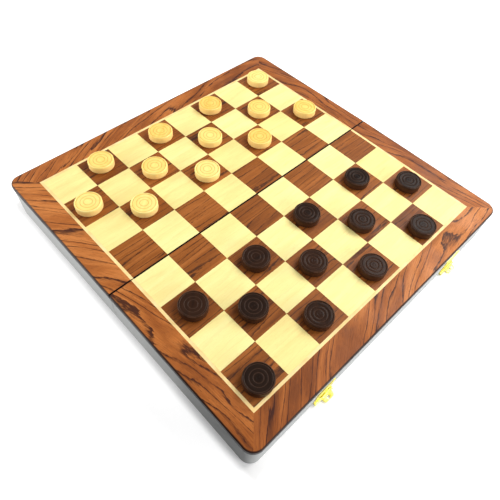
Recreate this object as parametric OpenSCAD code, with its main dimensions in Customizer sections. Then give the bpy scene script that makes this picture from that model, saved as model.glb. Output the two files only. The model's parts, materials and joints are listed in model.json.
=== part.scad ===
// Folding wooden games box, lying open with its cavities down: the two outer faces make one
// draughts board, and twelve light and twelve dark draughts stand on it.
// The frame: X runs across the fold, from the keeper half to the latch half. Y runs along the
// fold. Z is up, and z = 0 is the table. The origin is under the middle of the fold.
// Each half is drawn once, in a frame of its own: X away from the hinge axis, Z up from it.

/* [Board] */
// Side of one square of the board
square_w = 32.6; // [28:0.1:40]
// Width of the pale line around the squares
stringing_w = 2.4; // [1:0.1:4]
// Width of the rosewood border outside the pale line
border_w = 19.8; // [15:0.1:30]
// Radius of the box's four outer corners
corner_r = 9.5; // [9.5:0.5:18]
// Thickness of the face veneers
veneer_t = 0.6; // [0.4:0.1:1]
// Gap between one square's veneer and the next
veneer_joint = 0.1; // [0.05:0.05:0.3]
// Thickness of the panel under the veneers
panel_t = 5.4; // [4:0.1:8]

/* [Case] */
// Height of one half, from its rim to its playing face
half_h = 36; // [34:0.5:50]
// Thickness of the walls
wall_t = 9; // [8.6:0.1:12]
// Step from the panel's edge back to the walls
wall_step = 0.4; // [0:0.1:1]
// Gap between the two halves along the fold, on each side of the middle
fold_gap = 0.15; // [0.1:0.05:0.3]
// Gap between each rim and the hinge axis, so that the closed rims don't bind
rim_gap = 0.15; // [0.1:0.05:0.3]
// Thickness of the felt under each panel
felt_t = 1.2; // [0.8:0.1:3]
// Gap between the felt and the walls
felt_gap = 0.3; // [0.1:0.1:1]

/* [Fold hinges] */
// Distance of each hinge from the middle of the fold
hinge_y = 95; // [30:1:110]
// Length of a hinge
hinge_l = 25; // [18:0.5:32]
// Reach of a hinge leaf from the axis
leaf_w = 8; // [7.5:0.1:8.5]
// Thickness of a hinge leaf
leaf_t = 1; // [0.9:0.1:1.4]
// Outer radius of a hinge barrel
barrel_r = 1.25; // [1.15:0.05:1.6]
// Radius of a hinge pin
pin_r = 0.6; // [0.4:0.05:0.7]
// Gap between a pin and its bore
pin_gap = 0.05; // [0.03:0.01:0.1]
// Gap between moving barrels and what they pass
barrel_gap = 0.25; // [0.2:0.05:0.4]

/* [Latches] */
// Place along the front of the left latch
left_latch_y = -78; // [-110:1:-20]
// Place along the front of the right latch
right_latch_y = 91; // [20:1:110]
// Width of a latch's back plate
plate_w = 19.5; // [19:0.5:28]
// Height of a latch's back plate
plate_h = 16; // [14:0.5:24]
// Thickness of the latch plates
plate_t = 0.7; // [0.5:0.05:0.75]
// Height of the latch's pin above the rim
latch_pin_h = 1.6; // [1.5:0.05:2]
// Distance of the latch's pin from the wall
latch_pin_out = 1.35; // [1.35:0.05:1.8]
// Outer radius of the latch's barrels
latch_barrel_r = 1.2; // [1:0.05:1.25]
// Radius of the latch's pin
latch_pin_r = 0.5; // [0.35:0.05:0.6]
// Width of the flap
flap_w = 10.6; // [9:0.1:11.5]
// Distance of the flap's middle from the middle of the back plate
flap_off = 2.5; // [0:0.1:3]
// Reach of the flap from its pin
flap_l = 5.2; // [5.1:0.1:6]
// Thickness of the flap
flap_t = 0.6; // [0.4:0.05:0.65]
// Radius of the flap's outer corners
flap_corner_r = 2.4; // [1:0.1:3]
// Radius of the hole in the flap
flap_hole_r = 1.3; // [1.2:0.05:1.5]
// Distance of the hole from the flap's pin
flap_hole_out = 3.2; // [3.1:0.1:3.5]
// Height of a keeper plate
keeper_h = 9; // [8:0.5:14]
// Radius of the keeper's stud
stud_r = 0.9; // [0.6:0.05:1]
// Length of the stud's straight shank beyond the keeper plate
stud_l = 0.7; // [0.5:0.05:0.8]

/* [Screws] */
// Radius of a screw's shank
screw_r = 0.9; // [0.7:0.05:1]
// Radius of a screw's head
screw_head_r = 1.7; // [1.4:0.05:1.8]
// Height of a screw's countersunk head
screw_head_h = 0.5; // [0.3:0.05:0.55]
// Length of a screw
screw_l = 6; // [4:0.5:7]
// Gap around a screw in its hole
screw_gap = 0.05; // [0.03:0.01:0.1]
// Width of a screw's slot
slot_w = 0.4; // [0.3:0.05:0.5]
// Depth of a screw's slot
slot_deep = 0.3; // [0.2:0.05:0.3]

/* [Draughts] */
// Diameter of a draught
draught_d = 22.8; // [19:0.2:25]
// Thickness of a draught
draught_t = 6.8; // [6:0.1:9]
// Rounding of a draught's upper edge
draught_round = 1.1; // [0.6:0.1:1.2]
// Rounding of a draught's lower edge
draught_foot = 0.7; // [0.3:0.1:1]
// Width of the raised rim on a draught
draught_rim_w = 1.5; // [1.3:0.1:2.5]
// Distance from the first ring of a draught to the next
ring_pitch = 2.9; // [2.5:0.1:3.2]
// Width of a turned ring
ring_w = 0.8; // [0.5:0.1:1]
// Depth of a turned ring
ring_deep = 0.5; // [0.2:0.1:0.8]
// Depth of the hollowed top inside the rim
dish_deep = 0.3; // [0.1:0.1:0.6]
// Gap between a draught and the board
draught_gap = 0.05; // [0.03:0.01:0.1]

/* [Hidden] */
HALVES = ["keeper_half", "latch_half"];
HALF_PARTS = ["panel", "left_border", "right_border", "end_border", "stringing", "dark_squares",
    "light_squares", "end_wall", "fold_wall", "left_wall", "right_wall", "felt"];
METALWORK = ["keeper_half_hinge_leaves", "latch_half_hinge_leaves", "hinge_pins",
    "keeper_half_hinge_screws", "latch_half_hinge_screws", "latch_plates", "left_latch_flap",
    "right_latch_flap", "latch_pins", "latch_screws", "keepers", "keeper_screws"];
function draught_name(tone, n) = str(tone, "_draught_", n < 9 ? "0" : "", n + 1);

$fn = 64;
squares = 8;                                     // along each side of the board
files = squares / 2;                             // in one half, away from the fold
field = squares * square_w;                      // the board of squares
half_l = files * square_w + stringing_w + border_w;  // from the fold to the end
half_w = half_l;                                 // from the middle to each side
face_z = half_h;                                 // the playing face
core_z = face_z - veneer_t;                      // the top of the panel
wall_top = core_z - panel_t;                     // the panel's underside
end_face = half_l - wall_step;                   // the end wall's outer face
side_face = half_w - wall_step;                  // a side wall's outer face
inner_end = end_face - wall_t;
inner_side = side_face - wall_t;
inner_fold = fold_gap + wall_t;
// The barrels stand below the rims, so each half leans down on its end rim by this angle
droop = asin((barrel_r + rim_gap) / end_face);
knuckles = 5;
knuckle_pitch = hinge_l / knuckles;
hinge_screw_y = hinge_l / 2 - 5;
hinge_screw_x = (barrel_r + barrel_gap + leaf_w) / 2;
latch_pin_x = end_face + latch_pin_out;
latch_pin_z = rim_gap + latch_pin_h;
plate_bottom = latch_pin_z + latch_barrel_r + barrel_gap;
// The flap's tip hangs this far over the table while the box lies open
tip_gap = 0.1;
flap_lean = asin((latch_pin_h - tip_gap - flap_t / 2) / flap_l) - droop;
// With the rims closed the flap's hole lies over the stud
stud_z = flap_hole_out - latch_pin_z;
plate_screw_y = plate_w / 2 - 3.2;
plate_screw_inset = 3.4;
keeper_screw_z = keeper_h - 3;
dark_wood = "#4a2c1e";
rosewood = "#b06a3c";
walnut = "#7d4a2c";
maple = "#f2e3ac";
case_grey = "#8b9092";
brass = "#d8bd4a";
overlap = 0.5;                                   // by which a cutter passes what it cuts

// Where each draught stands: [file from the fold, rank along it, how far it is set off the middle
// of its square away from the fold, and along the fold]
light_places = [
    [3, 1, 2.5, 0.5], [3, 3, -0.5, -1], [3, 5, 0.5, -3], [3, 7, 2, 0.5],
    [2, 0, 0, -2], [2, 2, -1.5, -0.5], [2, 4, -3, -2], [2, 6, -2.5, -1.5],
    [1, 1, 1.5, -1], [1, 3, -2.5, -0.5], [1, 5, -2, 0.5], [1, 7, 0, 1.5]
];
dark_places = [
    [1, 0, 0, 1], [1, 2, 0.5, -1], [1, 4, -3, -3], [1, 6, -1.5, -2],
    [2, 1, -2.5, 0], [2, 3, 0.5, -2.5], [2, 5, -0.5, -5], [2, 7, -0.5, -1.5],
    [3, 0, 5.5, -2], [3, 2, 1.5, -1.5], [3, 4, 2, -2.5], [3, 6, 5, -2.5]
];

// ---- frames and shared shapes ----

module on_latch_half() translate([0, 0, barrel_r]) rotate([0, droop, 0]) children();
module on_keeper_half() mirror([1, 0, 0]) on_latch_half() children();
module on_half(half) {
    if (half == "latch_half") on_latch_half() children();
    else on_keeper_half() children();
}

// A round bar along Y, centred on its place
module bar_y(r, l) rotate([90, 0, 0]) cylinder(r = r, h = l, center = true);

// The plan of one half, set in from its end and sides
module half_plan(step) {
    r = corner_r - step;
    x_end = half_l - step;
    y_end = half_w - step;
    translate([fold_gap, -y_end]) square([x_end - fold_gap - r, 2 * y_end]);
    translate([fold_gap, r - y_end]) square([x_end - fold_gap, 2 * (y_end - r)]);
    for (side = [-1, 1]) translate([x_end - r, side * (y_end - r)]) circle(r);
}

// The part of a frame that lies beyond the end of a rectangle, between its two mitre lines
module end_mitre(x_in, y_in) {
    reach = half_l - x_in + 1;
    polygon([[x_in, -y_in], [x_in + reach, -y_in - reach], [x_in + reach, y_in + reach], [x_in, y_in]]);
}

// A countersunk screw that points along +Z, with its head's face at z = 0
module screw() {
    difference() {
        union() {
            cylinder(r1 = screw_head_r, r2 = screw_r, h = screw_head_h);
            cylinder(r = screw_r, h = screw_l);
        }
        translate([-slot_w / 2, -screw_head_r, -overlap])
            cube([slot_w, 2 * screw_head_r, slot_deep + overlap]);
    }
}

// The hole that a screw is driven into
module screw_hole() {
    cylinder(r1 = screw_head_r + screw_gap, r2 = screw_r + screw_gap, h = screw_head_h);
    translate([0, 0, -overlap]) cylinder(r = screw_r + screw_gap, h = screw_l + screw_gap + overlap);
}

// ---- the places of the metalwork ----

module at_hinges() for (side = [-1, 1]) translate([0, side * hinge_y, 0]) children();
module at_hinge_screws()
    at_hinges() for (end = [-1, 1]) translate([hinge_screw_x, end * hinge_screw_y, rim_gap]) children();
module at_latches() for (y = [left_latch_y, right_latch_y]) translate([0, y, 0]) children();
module at_latch_screws()
    at_latches() for (side = [-1, 1], z = [plate_screw_inset, plate_h - plate_screw_inset])
        translate([end_face + plate_t, side * plate_screw_y, plate_bottom + z]) rotate([0, -90, 0]) children();
module at_keeper_screws()
    at_latches() for (side = [-1, 1])
        translate([end_face + plate_t, side * plate_screw_y, rim_gap + keeper_screw_z])
            rotate([0, -90, 0]) children();

// ---- one half of the case ----

module panel() color(dark_wood) translate([0, 0, wall_top]) linear_extrude(panel_t) half_plan(0);

module veneer() translate([0, 0, core_z]) linear_extrude(veneer_t) children();

module side_border(side) {
    x_in = files * square_w + stringing_w;
    y_in = field / 2 + stringing_w;
    color(rosewood) veneer() intersection() {
        difference() {
            half_plan(0);
            end_mitre(x_in, y_in);
        }
        translate([0, side > 0 ? y_in : -half_w - 1]) square([half_l + 1, half_w + 1 - y_in]);
    }
}

module end_border() {
    color(rosewood) veneer() intersection() {
        half_plan(0);
        end_mitre(files * square_w + stringing_w, field / 2 + stringing_w);
    }
}

module stringing() {
    y_out = field / 2 + stringing_w;
    color(maple) veneer() difference() {
        translate([fold_gap, -y_out]) square([files * square_w + stringing_w - fold_gap, 2 * y_out]);
        translate([fold_gap - 1, -field / 2]) square([files * square_w - fold_gap + 1, field]);
    }
}

// The squares whose file and rank add up to an odd number, or to an even one
module some_squares(odd) {
    for (file = [0:files - 1], rank = [0:squares - 1])
        if ((file + rank) % 2 == odd) {
            near = file == 0 ? fold_gap : file * square_w + veneer_joint / 2;
            veneer() translate([near, rank * square_w - field / 2 + veneer_joint / 2])
                square([(file + 1) * square_w - veneer_joint / 2 - near, square_w - veneer_joint]);
        }
}
module dark_squares(half) color(walnut) some_squares(half == "latch_half" ? 1 : 0);
module light_squares(half) color(maple) some_squares(half == "latch_half" ? 0 : 1);

module walls() translate([0, 0, rim_gap]) linear_extrude(wall_top - rim_gap) children();

module end_wall(half) {
    color(case_grey) difference() {
        walls() intersection() {
            half_plan(wall_step);
            end_mitre(inner_end, inner_side);
        }
        if (half == "latch_half") at_latch_screws() screw_hole();
        else at_keeper_screws() screw_hole();
    }
}

module side_wall(side) {
    color(case_grey) walls() difference() {
        intersection() {
            half_plan(wall_step);
            translate([0, side > 0 ? inner_side : -half_w - 1]) square([half_l + 1, half_w + 1 - inner_side]);
        }
        end_mitre(inner_end, inner_side);
        fold_mitre();
    }
}

module fold_mitre() {
    reach = wall_t + 1;
    polygon([[inner_fold, -inner_side], [inner_fold, inner_side], [inner_fold - reach, inner_side + reach],
        [inner_fold - reach, -inner_side - reach]]);
}

module fold_wall() {
    color(case_grey) difference() {
        walls() intersection() {
            half_plan(wall_step);
            fold_mitre();
        }
        at_hinges() {
            bar_y(barrel_r + barrel_gap, hinge_l + 2 * barrel_gap);
            translate([-1, -hinge_l / 2 - screw_gap, 0])
                cube([leaf_w + screw_gap + 1, hinge_l + 2 * screw_gap, rim_gap + leaf_t]);
        }
        at_hinge_screws() screw_hole();
    }
}

module felt() {
    color("darkgreen") translate([inner_fold + felt_gap, felt_gap - inner_side, wall_top - felt_t])
        cube([inner_end - inner_fold - 2 * felt_gap, 2 * (inner_side - felt_gap), felt_t]);
}

// ---- the fold's hinges ----

// The keeper half's leaves hold the outer and middle knuckles, the latch half's the two between
module hinge_leaves(half) {
    held = half == "latch_half" ? [1, 3] : [0, 2, 4];
    plate_x = barrel_r + barrel_gap;
    knuckle_l = knuckle_pitch - pin_gap * 4;
    color(brass) difference() {
        at_hinges() {
            translate([plate_x, -hinge_l / 2, rim_gap]) cube([leaf_w - plate_x, hinge_l, leaf_t]);
            for (n = held) translate([0, (n - (knuckles - 1) / 2) * knuckle_pitch, 0]) {
                bar_y(barrel_r, knuckle_l);
                translate([0, -knuckle_l / 2, rim_gap]) cube([plate_x, knuckle_l, leaf_t]);
            }
        }
        at_hinges() bar_y(pin_r + pin_gap, hinge_l + 1);
        at_hinge_screws() screw_hole();
    }
}

module hinge_pins() color("silver") at_hinges() bar_y(pin_r, hinge_l);
module hinge_screws() color(brass) at_hinge_screws() screw();

// ---- the latches ----

// One of the back plate's knuckles, between two places along the pin, with the strip it is bent from
module plate_knuckle(from, to) {
    translate([latch_pin_x, (from + to) / 2, latch_pin_z]) bar_y(latch_barrel_r, to - from);
    translate([end_face, from, latch_pin_z]) cube([plate_t, to - from, plate_bottom - latch_pin_z]);
}

module latch_plates() {
    flap_room = flap_w / 2 + barrel_gap;
    color(brass) difference() {
        at_latches() {
            translate([end_face, -plate_w / 2, plate_bottom]) cube([plate_t, plate_w, plate_h]);
            plate_knuckle(-plate_w / 2, flap_off - flap_room);
            plate_knuckle(flap_off + flap_room, plate_w / 2);
        }
        at_latches() translate([latch_pin_x, 0, latch_pin_z]) bar_y(latch_pin_r + pin_gap, plate_w + 1);
        at_latch_screws() screw_hole();
    }
}

module latch_flap(y) {
    color(brass) translate([latch_pin_x, y + flap_off, latch_pin_z]) rotate([0, flap_lean, 0]) difference() {
        union() {
            bar_y(latch_barrel_r, flap_w);
            translate([0, 0, -flap_t / 2]) linear_extrude(flap_t) flap_plan();
        }
        bar_y(latch_pin_r + pin_gap, flap_w + 1);
        translate([flap_hole_out, 0, -flap_t]) cylinder(r = flap_hole_r, h = 2 * flap_t);
    }
}

module flap_plan() {
    straight = flap_l - flap_corner_r;
    translate([0, -flap_w / 2]) square([straight, flap_w]);
    translate([0, flap_corner_r - flap_w / 2]) square([flap_l, flap_w - 2 * flap_corner_r]);
    for (side = [-1, 1]) translate([straight, side * (flap_w / 2 - flap_corner_r)]) circle(flap_corner_r);
}

module latch_pins() {
    color("silver") at_latches() translate([latch_pin_x, 0, latch_pin_z]) bar_y(latch_pin_r, plate_w);
}

module keepers() {
    color(brass) difference() {
        at_latches() {
            translate([end_face, -plate_w / 2, rim_gap]) cube([plate_t, plate_w, keeper_h]);
            translate([end_face, flap_off, stud_z]) rotate([0, 90, 0]) {
                cylinder(r = stud_r, h = plate_t + stud_l);
                translate([0, 0, plate_t + stud_l]) sphere(stud_r);
            }
        }
        at_keeper_screws() screw_hole();
    }
}

module latch_screws() color(brass) at_latch_screws() screw();
module keeper_screws() color(brass) at_keeper_screws() screw();

// ---- the draughts ----

// Half of a draught's section. The rings are turned into the top, counted in from the rim
module draught_section() {
    r = draught_d / 2;
    t = draught_t;
    dish_r = r - draught_rim_w;
    difference() {
        union() {
            square([r - draught_foot, t - draught_round]);
            translate([0, draught_foot]) square([r, t - draught_round - draught_foot]);
            square([r - draught_round, t]);
            translate([r - draught_round, t - draught_round]) circle(draught_round);
            translate([r - draught_foot, draught_foot]) circle(draught_foot);
        }
        translate([0, t - dish_deep]) square([dish_r, 1]);
        for (n = [0:2]) translate([dish_r - ring_w - n * ring_pitch, t - dish_deep - ring_deep])
            square([ring_w, 1]);
    }
}

module draught(place, tint) {
    color(tint) translate([
        (place[0] + 0.5) * square_w + place[2],
        (place[1] + 0.5) * square_w - field / 2 + place[3],
        face_z + draught_gap
    ]) rotate_extrude() draught_section();
}

// ---- the nodes ----

module half_part(half, part) {
    if (part == "panel") panel();
    if (part == "left_border") side_border(-1);
    if (part == "right_border") side_border(1);
    if (part == "end_border") end_border();
    if (part == "stringing") stringing();
    if (part == "dark_squares") dark_squares(half);
    if (part == "light_squares") light_squares(half);
    if (part == "end_wall") end_wall(half);
    if (part == "fold_wall") fold_wall();
    if (part == "left_wall") side_wall(-1);
    if (part == "right_wall") side_wall(1);
    if (part == "felt") felt();
}

for (half = HALVES, part = HALF_PARTS)
    on_half(half) half_part(half, part);
for (n = [0:11]) {
    on_keeper_half() draught(light_places[n], maple);
    on_latch_half() draught(dark_places[n], dark_wood);
}
on_keeper_half() hinge_leaves("keeper_half");  // keeper_half_hinge_leaves
on_latch_half() hinge_leaves("latch_half");  // latch_half_hinge_leaves
on_keeper_half() hinge_pins();
on_keeper_half() hinge_screws();  // keeper_half_hinge_screws
on_latch_half() hinge_screws();  // latch_half_hinge_screws
on_latch_half() latch_plates();
on_latch_half() latch_flap(left_latch_y);  // left_latch_flap
on_latch_half() latch_flap(right_latch_y);  // right_latch_flap
on_latch_half() latch_pins();
on_latch_half() latch_screws();
on_keeper_half() keepers();
on_keeper_half() keeper_screws();
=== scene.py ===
# %% [markdown]
# # A folding games box, open as a draughts board
#
# The real object is a shallow wooden box in two halves, hinged along the fold. It lies open with
# its trays down, so the two veneered outer faces make one board, and 24 turned draughts stand on
# it. The engineering model is loaded first and stays fixed: it says where each piece is and how
# it moves. This script then gives every piece the shape, grain and finish that the eye sees.

import json
import math

import bmesh
import bpy
import numpy as np
from mathutils import Matrix, Vector

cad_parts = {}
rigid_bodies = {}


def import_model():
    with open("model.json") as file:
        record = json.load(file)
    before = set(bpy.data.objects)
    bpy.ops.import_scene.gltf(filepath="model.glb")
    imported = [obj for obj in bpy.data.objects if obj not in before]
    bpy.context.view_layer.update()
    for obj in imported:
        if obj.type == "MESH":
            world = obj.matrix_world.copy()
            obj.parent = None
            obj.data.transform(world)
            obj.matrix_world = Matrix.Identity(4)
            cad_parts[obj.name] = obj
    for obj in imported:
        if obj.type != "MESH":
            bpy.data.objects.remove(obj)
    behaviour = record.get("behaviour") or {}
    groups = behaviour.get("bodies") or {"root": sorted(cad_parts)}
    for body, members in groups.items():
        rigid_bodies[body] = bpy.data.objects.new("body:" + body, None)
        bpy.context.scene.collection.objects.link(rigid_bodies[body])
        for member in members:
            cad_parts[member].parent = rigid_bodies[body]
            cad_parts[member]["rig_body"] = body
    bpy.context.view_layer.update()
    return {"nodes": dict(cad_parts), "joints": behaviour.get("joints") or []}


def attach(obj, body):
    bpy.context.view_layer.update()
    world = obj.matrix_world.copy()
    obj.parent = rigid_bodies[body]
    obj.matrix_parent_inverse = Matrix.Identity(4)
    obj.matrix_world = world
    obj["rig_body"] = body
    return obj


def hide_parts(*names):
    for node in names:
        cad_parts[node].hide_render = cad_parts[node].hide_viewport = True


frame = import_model()
MM = 0.001

# %% [markdown]
# Each half leans down by half a degree, because the hinge barrels stand below the rims. Every
# piece of a half is therefore drawn level, in millimetres, in the half's own frame: u runs away
# from the hinge's axis, y along the fold, z up. One matrix then puts it where it belongs. The
# lean is read from the way a draught lifts, so it always agrees with the engineering model.

# %% The two halves' own frames
joints = {joint["name"]: joint for joint in frame["joints"]}
hinge_height = joints["fold"]["pos_m"][2]
lean = math.asin(joints["dark_draught_01_lift"]["axis"][0])
LATCH_HALF = Matrix.Translation((0, 0, hinge_height)) @ Matrix.Rotation(lean, 4, "Y")
KEEPER_HALF = Matrix.Diagonal((-1, 1, 1, 1)) @ LATCH_HALF
HALVES = {"latch_half": LATCH_HALF, "keeper_half": KEEPER_HALF}
print("each half leans by", round(math.degrees(lean), 3), "degrees")

# %% [markdown]
# These sizes are shared by several pieces. They repeat the engineering model's, so that each
# piece drawn here fits its place, and everything else is worked out from them.

# %% The sizes, in millimetres
SQUARE = 32.6
SQUARES = 8
FILES = 4
STRINGING = 2.4
HALF_LENGTH = 152.6
CORNER = 9.5
FOLD_GAP = 0.15
FOLD_EDGE = 0.66
FACE = 36.0
VENEER = 0.6
PANEL = 5.4
ARRIS = 1.3
WALL_OUT = 152.2
WALL_IN = 143.2
RIM = 0.15
FIELD_HALF = SQUARE * SQUARES / 2
BORDER_IN = FIELD_HALF + STRINGING
print("the squares cover", 2 * FIELD_HALF, "mm each way")

# %% [markdown]
# Every piece ends up as a plain mesh whose object sits at the origin. The first helper takes a
# mesh drawn in a half's frame, moves it into place, turns its faces the right way round again
# when the half is the mirrored one, and hangs it on its body. The others build, shade and mark
# the meshes.

# %% Putting a piece in place


def settle(mesh, name, half, body, material, nodes):
    """A mesh in a half's own frame, in millimetres, becomes a finished piece of the object."""
    matrix = HALVES[half] @ Matrix.Scale(MM, 4)
    mesh.transform(matrix)
    if matrix.determinant() < 0:
        mesh.flip_normals()
    mesh.name = name
    piece = bpy.data.objects.new(name, mesh)
    bpy.context.scene.collection.objects.link(piece)
    mesh.materials.clear()
    mesh.materials.append(material)
    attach(piece, body)
    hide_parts(*nodes)
    return piece


def shade_by_angle(mesh, degrees=35):
    """Smooth faces, with hard edges where two faces meet more sharply than this."""
    shaped = bmesh.new()
    shaped.from_mesh(mesh)
    for face in shaped.faces:
        face.smooth = True
    for edge in shaped.edges:
        edge.smooth = not (edge.is_manifold and edge.calc_face_angle(0) > math.radians(degrees))
    shaped.to_mesh(mesh)
    shaped.free()


def closed_mesh(name, points, faces):
    """A mesh whose faces all point out, with its many-sided faces cut into triangles."""
    mesh = bpy.data.meshes.new(name)
    mesh.from_pydata(points, [], faces)
    shaped = bmesh.new()
    shaped.from_mesh(mesh)
    bmesh.ops.recalc_face_normals(shaped, faces=shaped.faces)
    bmesh.ops.triangulate(shaped, faces=[f for f in shaped.faces if len(f.verts) > 4])
    shaped.to_mesh(mesh)
    shaped.free()
    return mesh


def mark(mesh, name, values, kind="FLOAT"):
    """Each point of the mesh gets a value, or a vector, under this name."""
    layer = mesh.attributes.new(name, kind, "POINT")
    layer.data.foreach_set("value" if kind == "FLOAT" else "vector",
        np.asarray(values, np.float32).ravel())


def put_grain(mesh, along, across, up, start=(0, 0, 0)):
    """Each point keeps its place in the plank that it was cut from, in millimetres."""
    points = np.empty(len(mesh.vertices) * 3, np.float32)
    mesh.vertices.foreach_get("co", points)
    axes = np.array([along, across, up], np.float32)
    places = points.reshape(-1, 3) @ axes.T + np.array(start, np.float32)
    mark(mesh, "grain", places, "FLOAT_VECTOR")


# %% [markdown]
# Materials come next. Real veneer shows three things at once: broad figure (the dark and light
# bands of the growth rings), fine fibres, and short dark pores. All three are noise that is
# stretched along the grain, so one node group makes them, and each wood gives it its own sizes
# and colours. The group reads the `grain` attribute, so the figure is cut by each joint.

# %% Small helpers for node trees


def srgb(red, green, blue):
    """A colour as it is read off a screen, 0 to 255, as the linear values that Blender uses."""
    def linear(value):
        value /= 255
        return value / 12.92 if value <= 0.04045 else ((value + 0.055) / 1.055) ** 2.4
    return (linear(red), linear(green), linear(blue), 1.0)


def add(tree, kind, settings=None, **inputs):
    """A node, with its settings, and with each named input set to a value or fed by a socket."""
    made = tree.nodes.new(kind)
    for key, value in (settings or {}).items():
        setattr(made, key, value)
    for key, value in inputs.items():
        numbered = key[0] == "i" and key[1:].isdigit()
        socket = made.inputs[int(key[1:]) if numbered else key.replace("_", " ")]
        if isinstance(value, bpy.types.NodeSocket):
            tree.links.new(value, socket)
        else:
            socket.default_value = value
    return made


def maths(tree, operation, first, second=0.0, third=0.0, clamp=False):
    return add(tree, "ShaderNodeMath", {"operation": operation, "use_clamp": clamp},
        i0=first, i1=second, i2=third).outputs[0]


def times(tree, first, second):
    return maths(tree, "MULTIPLY", first, second)


def noise(tree, place, scale, detail, **more):
    return add(tree, "ShaderNodeTexNoise", Vector=place, Scale=scale, Detail=detail,
        **more).outputs["Fac"]


def spread(tree, value, low, high, to_low=0.0, to_high=1.0):
    """The value's stretch from low to high becomes to_low to to_high, smoothly and clamped."""
    return add(tree, "ShaderNodeMapRange", {"interpolation_type": "SMOOTHSTEP"}, Value=value,
        From_Min=low, From_Max=high, To_Min=to_low, To_Max=to_high).outputs["Result"]


def blend_colours(tree, amount, first, second, how="MIX"):
    return add(tree, "ShaderNodeMix", {"data_type": "RGBA", "blend_type": how},
        i0=amount, i6=first, i7=second).outputs[2]


def ramp(tree, value, *stops):
    """A colour ramp. Each stop is a place on it and the levels of red, green and blue there."""
    made = add(tree, "ShaderNodeValToRGB", Fac=value)
    elements = made.color_ramp.elements
    while len(elements) < len(stops):
        elements.new(0.5)
    for element, (place, *levels) in zip(elements, stops):
        element.position, element.color = place, srgb(*levels)
    return made.outputs["Color"]


def group(name, inputs, outputs, kind="ShaderNodeTree", gives="NodeSocketFloat"):
    """An empty node group with named sockets, and its two end nodes."""
    tree = bpy.data.node_groups.new(name, kind)
    for label, (takes, value) in inputs.items():
        socket = tree.interface.new_socket(label, in_out="INPUT", socket_type=takes)
        if value is not None:
            socket.default_value = value
    for label in outputs:
        tree.interface.new_socket(label, in_out="OUTPUT", socket_type=gives)
    return tree, tree.nodes.new("NodeGroupInput"), tree.nodes.new("NodeGroupOutput")


def material(name, **sockets):
    """A material with one Principled shader, whose plain values are set on its own sockets."""
    made = bpy.data.materials.new(name)
    made.use_nodes = True
    shader = made.node_tree.nodes["Principled BSDF"]
    for key, value in sockets.items():
        shader.inputs[key.replace("_", " ")].default_value = value
    return made, made.node_tree, shader


def bump(tree, shader, height, distance, strength=1.0):
    made = add(tree, "ShaderNodeBump", Height=height, Distance=distance, Strength=strength)
    tree.links.new(made.outputs["Normal"], shader.inputs["Normal"])


# %% Wood figure, fibres and pores
wood, wood_in, wood_out = group("wood_figure", {
    "Place": ("NodeSocketVector", None), "Band": ("NodeSocketFloat", 6.0),
    "Stretch": ("NodeSocketFloat", 8.0), "Wobble": ("NodeSocketFloat", 1.0),
    "Fibre": ("NodeSocketFloat", 0.5), "Rings": ("NodeSocketFloat", 6.0)},
    ("Figure", "Fibres", "Pores", "Veins", "Height"))
asked = wood_in.outputs


def stretched(size, stretch):
    """The place in the plank, drawn out along the grain, and counted in units of size."""
    across = maths(wood, "DIVIDE", 1.0, size)
    along = maths(wood, "DIVIDE", across, stretch)
    scale = add(wood, "ShaderNodeCombineXYZ", X=along, Y=across, Z=across).outputs[0]
    return add(wood, "ShaderNodeVectorMath", {"operation": "MULTIPLY"},
        i0=asked["Place"], i1=scale).outputs[0]


band_place = stretched(asked["Band"], asked["Stretch"])
drift = maths(wood, "SUBTRACT", noise(wood, band_place, 0.45, 2.0), 0.5)
drift = add(wood, "ShaderNodeCombineXYZ", Y=times(wood, drift, asked["Wobble"])).outputs[0]
drifted = add(wood, "ShaderNodeVectorMath", {"operation": "ADD"}, i0=band_place,
    i1=drift).outputs[0]
figure = noise(wood, drifted, 1.0, 5.0, Roughness=0.6)
smooth_figure = noise(wood, drifted, 0.6, 1.5, Roughness=0.5)
ragged = noise(wood, stretched(times(wood, asked["Fibre"], 3.0), 4.5), 1.0, 2.0)
across_plank = add(wood, "ShaderNodeSeparateXYZ", Vector=drifted).outputs["Y"]
uneven = maths(wood, "MULTIPLY_ADD", smooth_figure, 3.4, times(wood, ragged, 0.32))
ring = maths(wood, "FRACT", maths(wood, "MULTIPLY_ADD", across_plank, asked["Rings"], uneven))
late = spread(wood, ring, 0.68, 0.92)
early = spread(wood, ring, 0.95, 1.0, 1.0, 0.0)
broken = noise(wood, stretched(times(wood, asked["Band"], 0.5),
    times(wood, asked["Stretch"], 0.6)), 1.0, 3.0)
veins = times(wood, times(wood, maths(wood, "POWER", late, 2.0), early),
    spread(wood, broken, 0.28, 0.46))
fibres = noise(wood, stretched(asked["Fibre"], 40.0), 1.0, 2.0)
pores = noise(wood, stretched(times(wood, asked["Fibre"], 0.7), 14.0), 1.0, 1.0)
pores = spread(wood, pores, 0.62, 0.72)
height = maths(wood, "SUBTRACT", times(wood, fibres, 0.4), pores)
for label, socket in (("Figure", figure), ("Fibres", fibres), ("Pores", pores),
        ("Veins", veins), ("Height", height)):
    wood.links.new(socket, wood_out.inputs[label])
print("wood group:", len(wood.nodes), "nodes")

# %% [markdown]
# Handling leaves its own marks on a lacquered surface: broad greasy smudges and very fine dust.
# They show in the gloss far more than in the colour, so this group only gives two masks.

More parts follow.
